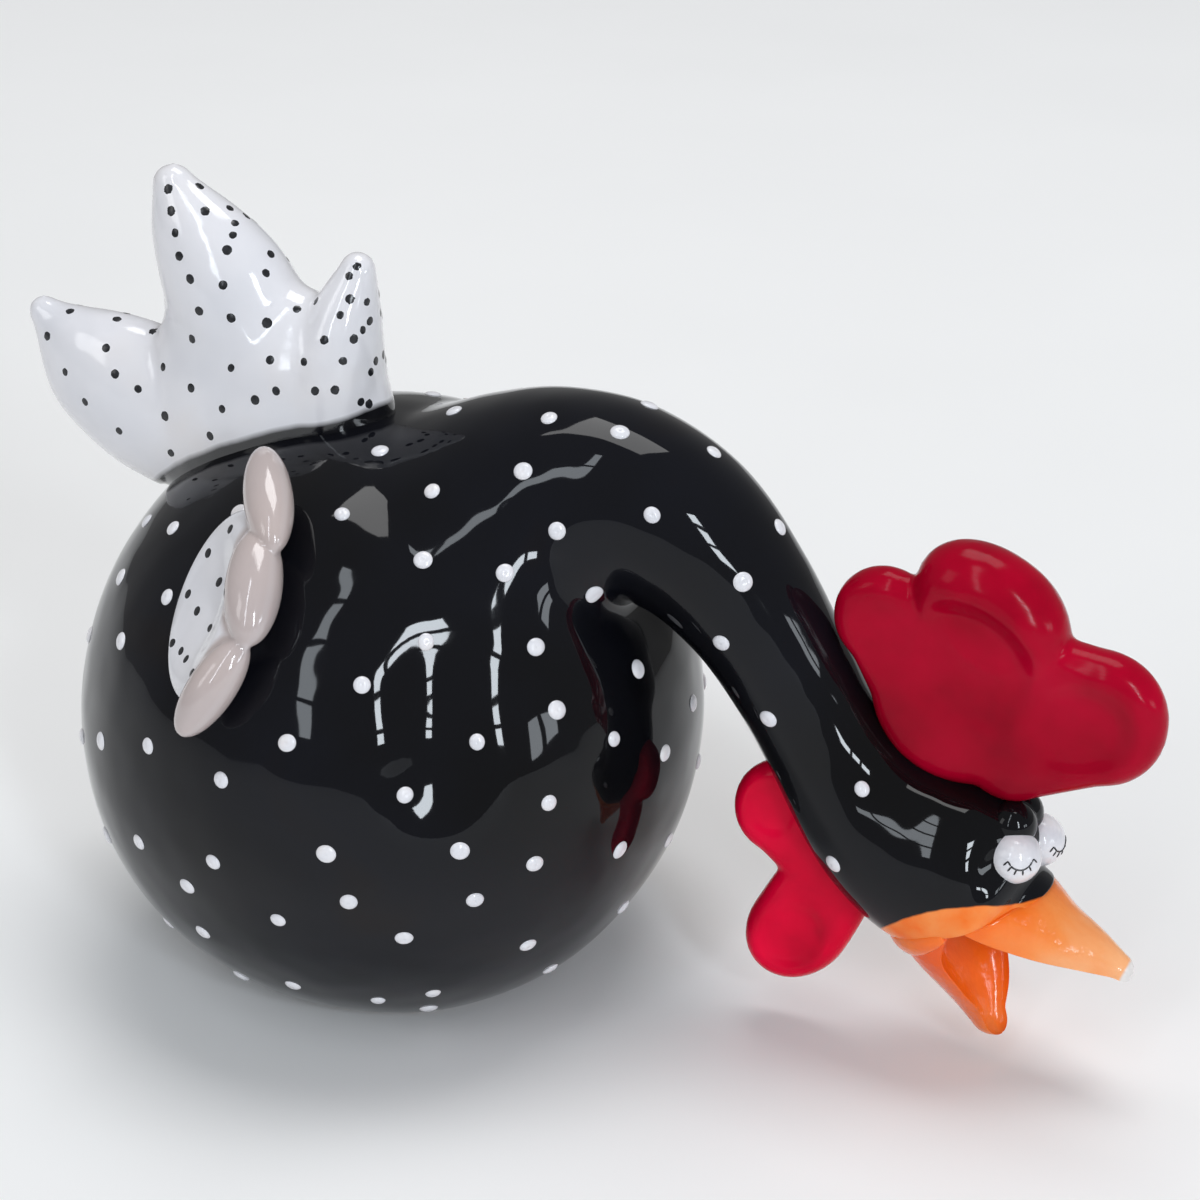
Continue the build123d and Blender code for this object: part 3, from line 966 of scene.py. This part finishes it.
def balls(places, radius):
    """Closed balls at places."""
    shells = []
    for x, y, z in places:
        shell_points, shell_faces = puff(x, z, 0.0, radius, radius, radius)
        shells.append(([p + Vector((0, y, 0)) for p in shell_points], shell_faces))
    return shells


def make_eyes():
    """Two bulging whites that run together under the brows."""
    return merged("eyes", balls(EYE_PLACES, EYE_RADIUS), EYE_VOXEL, EYE_ROUNDS)


def make_brows():
    """Two black knobs that run together over the eyes."""
    x, y, z = BROW_PLACE
    return merged("brows", balls(((x, y, z), (x, -y, z)), BROW_RADIUS), EYE_VOXEL, BROW_ROUNDS)


def tube_along(points, width):
    """Closed thin tube through points, pinched at its ends."""
    rings = []
    for i, point in enumerate(points):
        way = (points[min(i + 1, len(points) - 1)] - points[max(i - 1, 0)]).normalized()
        side = way.orthogonal().normalized()
        lift = way.cross(side)
        half = width / 2 * (LINE_PINCH if i in (0, len(points) - 1) else 1.0)
        ring = [point + side * half * math.cos(t) + lift * half * math.sin(t) for t in turns(LINE_SIDES)]
        rings.append(ring)
    return skin(rings)


def make_lashes(eye_tree):
    """Closed lids: a drooping line and six lashes on each eye."""
    shells = []
    for centre, way in zip(EYE_PLACES, LID_FACINGS):
        facing = Vector(way).normalized()
        across = Vector((0, 0, 1)).cross(facing).normalized()
        up = facing.cross(across)

        def on_eye(right, rise):
            start = Vector(centre) + across * right + up * rise + facing * LOOK_FROM
            place, normal, index, distance = eye_tree.ray_cast(start * MM, -facing)
            return place / MM

        rows = flowing([(*p, 0) for p in LID_POINTS], LID_STEP)
        shells.append(tube_along([on_eye(r[0], r[1]) for r in rows], LASH_WIDTH))
        for right, rise in LID_POINTS:
            lean = Vector((right * LASH_SPLAY, -LASH_DROP)).normalized() * LASH_LENGTH
            strokes = [on_eye(right + lean.x * t, rise + lean.y * t) for t in LASH_SHARES]
            shells.append(tube_along(strokes, LASH_WIDTH))
    return mesh_piece("lashes", *joined(shells))


def beak_half(name, stations, side, trough, roll, lips, thin):
    """One mandible: arched on one side of its mouth line, hollowed on the other, and rolled past its base.

    Its glaze lies thin from the first of the two shares in thin, at the base, to the second, at the tip;
    on the lower mandible the dark base is partly painted shade under the lip.
    """
    rows = domed(flowing(stations, BEAK_STEP), steps=5, short=BEAK_SHORT)
    rings = []
    for k, (x, z, height, half_width, angle) in enumerate(rows):
        lean = math.radians(roll) * min(1.0, ROLL_RATE * k / len(rows))
        level, dome = Vector((0, 1, 0)), heading(angle + 90) * side
        wide = level * math.cos(lean) - dome * math.sin(lean)
        up = dome * math.cos(lean) + level * math.sin(lean)
        ring = []
        for turn in turns(BEAK_SIDES):
            rise = height * math.sin(turn) if math.sin(turn) >= 0 else -trough * height * math.sin(turn)
            ring.append(Vector((x, 0, z)) + wide * (half_width * math.cos(turn) * side) + up * rise)
        rings.append(ring)
    piece = mesh_piece(name, *joined([skin(rings), *lips]))
    along = piece.data.attributes.new("along", "FLOAT", "POINT")
    shares = np.linspace(*thin, len(rings))
    count = len(rings) * BEAK_SIDES
    for i in range(count):
        along.data[i].value = shares[i // BEAK_SIDES]
    along.data[count + 1].value = thin[1]
    for i in range(count + 2, len(along.data)):
        along.data[i].value = LIP_TONE
    return finely(piece)


def lower_lip():
    """Roll of clay round the base of the lower mandible, fattest under the chin."""
    x, z, height, half_width, angle = LOWER_BEAK[0]
    ahead, dome = heading(angle), heading(angle - 90)
    rings = []
    for k in range(LIP_STEPS + 1):
        turn = math.radians(LIP_FROM + LIP_SWEEP * k / LIP_STEPS)
        out = Vector((0, math.cos(turn), 0)) * half_width + dome * ((height - LIP_INSET) * math.sin(turn))
        fat = math.sin(turn) ** LIP_TAPER
        hang = (ahead - out.normalized() * LIP_LEAN).normalized()
        middle = Vector((x, 0, z)) + out + hang * (LIP_HANG * fat)
        ring = []
        for spin in turns(LIP_SIDES):
            side = out.normalized() * (LIP_HALF * math.cos(spin)) + hang * (LIP_DEPTH * math.sin(spin))
            ring.append(middle + side * fat)
        rings.append(ring)
    return skin(rings)


def make_plate(name, lobes, bridges, dishes):
    """Comb or wattle: round lobes run together and thumbed on both faces."""
    shells = [pebble(*lobe) for lobe in lobes]
    shells.extend(bridge(lobes[i], lobes[j]) for i, j in bridges)
    piece = merged(name, shells, PLATE_VOXEL, PLATE_ROUNDS)
    press_dishes(piece, dishes)
    smoothed(piece, DISH_ROUNDS)
    return push(piece, uneven(*PLATE_WAVE))


def make_tail():
    """White puffed tail of three points that spread from one palm."""
    shells = [horn(s) for s in (TAIL_PALM, TAIL_REAR, TAIL_MIDDLE, TAIL_FRONT)]
    piece = merged("tail_fan", shells, TAIL_VOXEL, TAIL_ROUNDS)
    return push(piece, uneven(*TAIL_WAVE))


def wing_turn():
    """Placing of the flat right wing."""
    rise = WING_RISE.normalized()
    inward = rise.cross(WING_REACH).normalized()
    reach = inward.cross(rise)
    turn = Matrix((reach, inward, rise)).transposed().to_4x4()
    return Matrix.Translation(on_ball(WING_LONGITUDE, WING_LATITUDE) * MM) @ turn


def left_turn():
    """Takes the right wing to the left flank, lower down."""
    middle = Matrix.Translation(BALL_CENTRE * MM)
    drop = middle @ Matrix.Rotation(math.radians(-LEFT_WING_DROP), 4, "X") @ middle.inverted()
    return drop @ Matrix.Scale(-1, 4, (0, 1, 0))


def off_fingers(place):
    """Share of the palm's white at a place of the flat wing: 0 on its fingers, 1 clear of them."""
    nearest = FINGER_CLEAR[1]
    for x, z, angle, half_length, half_width, half_thickness in WING_PUFFS[1:]:
        offset = Vector((place.x - x, 0, place.z - z))
        along = offset.dot(heading(angle)) / half_length
        across = offset.dot(heading(angle + 90)) / half_width
        nearest = min(nearest, along * along + across * across)
    low, high = FINGER_CLEAR
    return max(0.0, (nearest - low) / (high - low))


def make_wings():
    """Wings of three puffed fingers, right and left, their outer faces pressed to a thin palm."""
    right = merged("right_wing_ear", [puff(*row) for row in WING_PUFFS], WING_VOXEL, WING_ROUNDS)
    x, z, half_length, half_width, level = WING_DISH
    palm = right.data.attributes.new("palm", "FLOAT", "POINT")
    for vertex in right.data.vertices:
        place = vertex.co / MM
        spread = math.sqrt(((place.x - x) / half_length) ** 2 + ((place.z - z) / half_width) ** 2)
        ease = min(1.0, max(0.0, (1 - spread) / WING_DISH_EASE))
        ease = ease * ease * (3 - 2 * ease)
        palm.data[vertex.index].value = off_fingers(place)
        if -WING_PUFFS[0][5] <= place.y < -level:
            vertex.co.y += (-level - place.y) * ease * MM
    right.data.update()
    smoothed(right, WING_DISH_ROUNDS)
    right.data.transform(wing_turn())
    left = mesh_piece("left_wing_ear", [], [])
    left.data = right.data.copy()
    left.data.transform(left_turn())
    left.data.flip_normals()
    return right, left


def carried(places, turn):
    """Places and normals taken along by a turn."""
    return [(turn @ place, turn.to_3x3() @ normal) for place, normal in places]


def clear_of(place, others, clear):
    """Whether a place stands clear of others."""
    return all((place - other).length > clear * MM for other, way in others)


def spread_out(places, clear):
    """Places that stand clear of the ones before them."""
    kept = []
    for place, normal in places:
        if clear_of(place, kept, clear):
            kept.append((place, normal))
    return kept


def island_middles(mesh):
    """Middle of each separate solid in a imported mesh."""
    parent = list(range(len(mesh.vertices)))

    def root(i):
        while parent[i] != i:
            parent[i] = parent[parent[i]]
            i = parent[i]
        return i

    by_place = {}
    for vertex in mesh.vertices:
        key = tuple(round(c, 6) for c in vertex.co)
        parent[root(vertex.index)] = root(by_place.setdefault(key, vertex.index))
    for edge in mesh.edges:
        parent[root(edge.vertices[0])] = root(edge.vertices[1])
    groups = {}
    for vertex in mesh.vertices:
        groups.setdefault(root(vertex.index), []).append(vertex.co)
    return [sum(points, Vector()) / len(points) for points in groups.values()]


def slip_places(gourd_tree):
    """Where the trailed dots sit: as photographed on the near side, as packed elsewhere."""
    places = seen_places(gourd_tree, SLIP_PIXELS)
    for name in ("body_dots", "neck_dots"):
        for middle in island_middles(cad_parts[name].data):
            place, normal, index, distance = gourd_tree.find_nearest(middle)
            places.append((place, normal))
    return spread_out(places, SLIP_CLEAR)


def oval_rings(tree, place, normal, oval, shares):
    """Rings of places and normals on a surface round a dot whose oval is drawn at random."""
    radius, sizes, squashes, sides = oval
    side = normal.orthogonal().normalized()
    over = normal.cross(side)
    size = radius * random.uniform(*sizes)
    squash = random.uniform(*squashes)
    lean = random.uniform(0, math.pi)
    rings = []
    for share in shares:
        ring = []
        for spin in turns(sides):
            wide = size * share * (1 - (1 - squash) * math.cos(spin - lean) ** 2)
            foot = place + (side * math.cos(spin) + over * math.sin(spin)) * wide * MM
            near, way, index, distance = tree.find_nearest(foot)
            ring.append((near, way))
        rings.append(ring)
    return rings


def make_slip_dots(places, tree):
    """Low domes of white slip, each a little different, with a nick where the nozzle left."""
    shares, rises = zip(*SLIP_RINGS)
    shells = []
    for place, normal in places:
        rings = []
        for rise, feet in zip(rises, oval_rings(tree, place, normal, SLIP_OVAL, shares)):
            rings.append([(near + normal * rise * SLIP_HEIGHT * MM) / MM for near, way in feet])
        shells.append(skin(rings))
    return mesh_piece("slip_dots", *joined(shells))


def make_painted_dots(name, places, tree):
    """Flat brushed dots that lie on a surface."""
    shares, prouds = zip(*PAINT_RINGS)
    sides = PAINT_OVAL[-1]
    points, faces = [], []
    for place, normal in places:
        base = len(points)
        points.append((place + normal * PAINT_PROUD * MM) / MM)
        for proud, feet in zip(prouds, oval_rings(tree, place, normal, PAINT_OVAL, shares)):
            points.extend((near + way * proud * MM) / MM for near, way in feet)
        inner = base + 1
        outer = inner + sides
        for j in range(sides):
            after = (j + 1) % sides
            faces.append((base, inner + j, inner + after))
            faces.append((inner + j, outer + j, outer + after, inner + after))
    return mesh_piece(name, points, faces, closed=False)


def tail_dot_places(tree):
    """Painted dots of the tail: as photographed on the near side, mirrored to the far side."""
    near = seen_places(tree, PAINT_PIXELS)
    dots = list(near)
    for place, normal in near:
        spot, way, index, distance = tree.find_nearest(place * Vector((1, -1, 1)))
        if clear_of(spot, near, PAINT_CLEAR):
            dots.append((spot, way))
    return dots


# Studio

def area_light(name, place, aim, size, power, colour=LAMP_COLOUR):
    """Soft lamp aimed at a point, in metres."""
    lamp = bpy.data.lights.new(name, "AREA")
    lamp.shape = "RECTANGLE"
    lamp.size, lamp.size_y = size
    lamp.energy = power
    lamp.color = colour
    holder = bpy.data.objects.new(name, lamp)
    holder.location = place
    holder.rotation_euler = (Vector(aim) - Vector(place)).to_track_quat("-Z", "Y").to_euler()
    bpy.context.scene.collection.objects.link(holder)
    return holder


def window(place, panes, pane, gap, power):
    """Window that faces the hen: a grid of equal lit panes, all turned the same way."""
    turn = (Vector(WINDOW_AIM) - Vector(place)).to_track_quat("-Z", "Y")
    across, up = turn @ Vector((1, 0, 0)), turn @ Vector((0, 1, 0))
    columns, rows = panes
    wide, tall = pane
    for i in range(columns):
        for j in range(rows):
            sideways = across * (i - (columns - 1) / 2) * (wide + gap)
            upwards = up * (j - (rows - 1) / 2) * (tall + gap)
            spot = Vector(place) + (sideways + upwards)
            light = area_light("pane", spot, WINDOW_AIM, pane, power, PANE_COLOUR)
            light.rotation_euler = turn.to_euler()


def make_studio():
    """Pale floor, soft lamps, windows and the photograph's camera."""
    bpy.ops.mesh.primitive_plane_add(size=FLOOR_SIDE, location=(0, 0, 0))
    floor = bpy.context.object
    floor.name = "floor"
    floor.data.materials.append(floor_material())
    for row in SOFT_LAMPS:
        area_light(*row)
    for row in WINDOWS:
        window(*row)
    world = bpy.data.worlds.new("room")
    world.use_nodes = True
    world.node_tree.nodes["Background"].inputs["Color"].default_value = ROOM_COLOUR
    world.node_tree.nodes["Background"].inputs["Strength"].default_value = ROOM_LIGHT
    bpy.context.scene.world = world
    lens = bpy.data.cameras.new("photo_camera")
    lens.lens = CAMERA_LENS
    lens.sensor_width = CAMERA_SENSOR
    camera = bpy.data.objects.new("photo_camera", lens)
    camera.location = CAMERA_AT * MM
    camera.rotation_mode = "QUATERNION"
    camera.rotation_quaternion = camera_turn()
    bpy.context.scene.collection.objects.link(camera)
    bpy.context.scene.camera = camera
    bpy.context.scene.view_settings.view_transform = "Standard"


black = black_glaze()
paint = black_paint()
comb_red = red_glaze("comb_red", COMB_LIFT)
# The wattle's red is painted lighter: painted light where it hangs in shade under the head.
wattle_red = red_glaze("wattle_red", WATTLE_PAINTED_LIGHT)
orange = orange_glaze()
tail_white = white_glaze("tail_white", TAIL_TINT, TAIL_COLLAR)
# The wing's fingers get painted shade and a brownish painted reflection.
wing_white = white_glaze("wing_white", WING_PAINTED_SHADE, WING_COLLAR)
eye_white = plain_white("eye_white")
slip_white = plain_white("slip_white")

gourd = dress(make_gourd(), black, "black_glaze", "body_shell", "neck_and_head")
gourd_tree = surface_of(gourd)
slip_dots = make_slip_dots(slip_places(gourd_tree), gourd_tree)
dress(slip_dots, slip_white, "white_slip", "body_dots", "neck_dots")

eyes = dress(make_eyes(), eye_white, "white_glaze", "right_eye", "left_eye")
dress(make_brows(), black, "black_glaze")
dress(make_lashes(surface_of(eyes)), paint, "black_glaze")
upper = beak_half("upper_mandible", UPPER_BEAK, 1, UPPER_TROUGH, 0.0, [], UPPER_THIN)
dress(upper, orange, "orange_glaze", "upper_beak")
# The lower mandible's orange is darkest at its base, partly painted shade under the lip.
lower = beak_half("lower_mandible", LOWER_BEAK, -1, LOWER_TROUGH, LOWER_ROLL, [lower_lip()], LOWER_THIN_AND_SHADE)
dress(lower, orange, "orange_glaze", "lower_beak")
comb = make_plate("comb_plate", COMB_LOBES, COMB_BRIDGES, COMB_DISHES)
dress(comb, comb_red, "red_glaze", "comb")
wattle = make_plate("wattle_plate", WATTLE_LOBES, WATTLE_BRIDGES, WATTLE_DISHES)
dress(wattle, wattle_red, "red_glaze", "wattle")

tail = dress(make_tail(), tail_white, "white_glaze", "tail")
tail_tree = surface_of(tail)
dress(make_painted_dots("tail_dots", tail_dot_places(tail_tree), tail_tree), paint, "black_glaze")

right_wing, left_wing = make_wings()
dress(right_wing, wing_white, "white_glaze", "right_wing")
dress(left_wing, wing_white, "white_glaze", "left_wing")
right_tree, left_tree = surface_of(right_wing), surface_of(left_wing)
right_places = seen_places(right_tree, WING_PIXELS)
dress(make_painted_dots("right_wing_dots", right_places, right_tree), paint, "black_glaze")
left_places = carried(right_places, left_turn())
dress(make_painted_dots("left_wing_dots", left_places, left_tree), paint, "black_glaze")

make_studio()
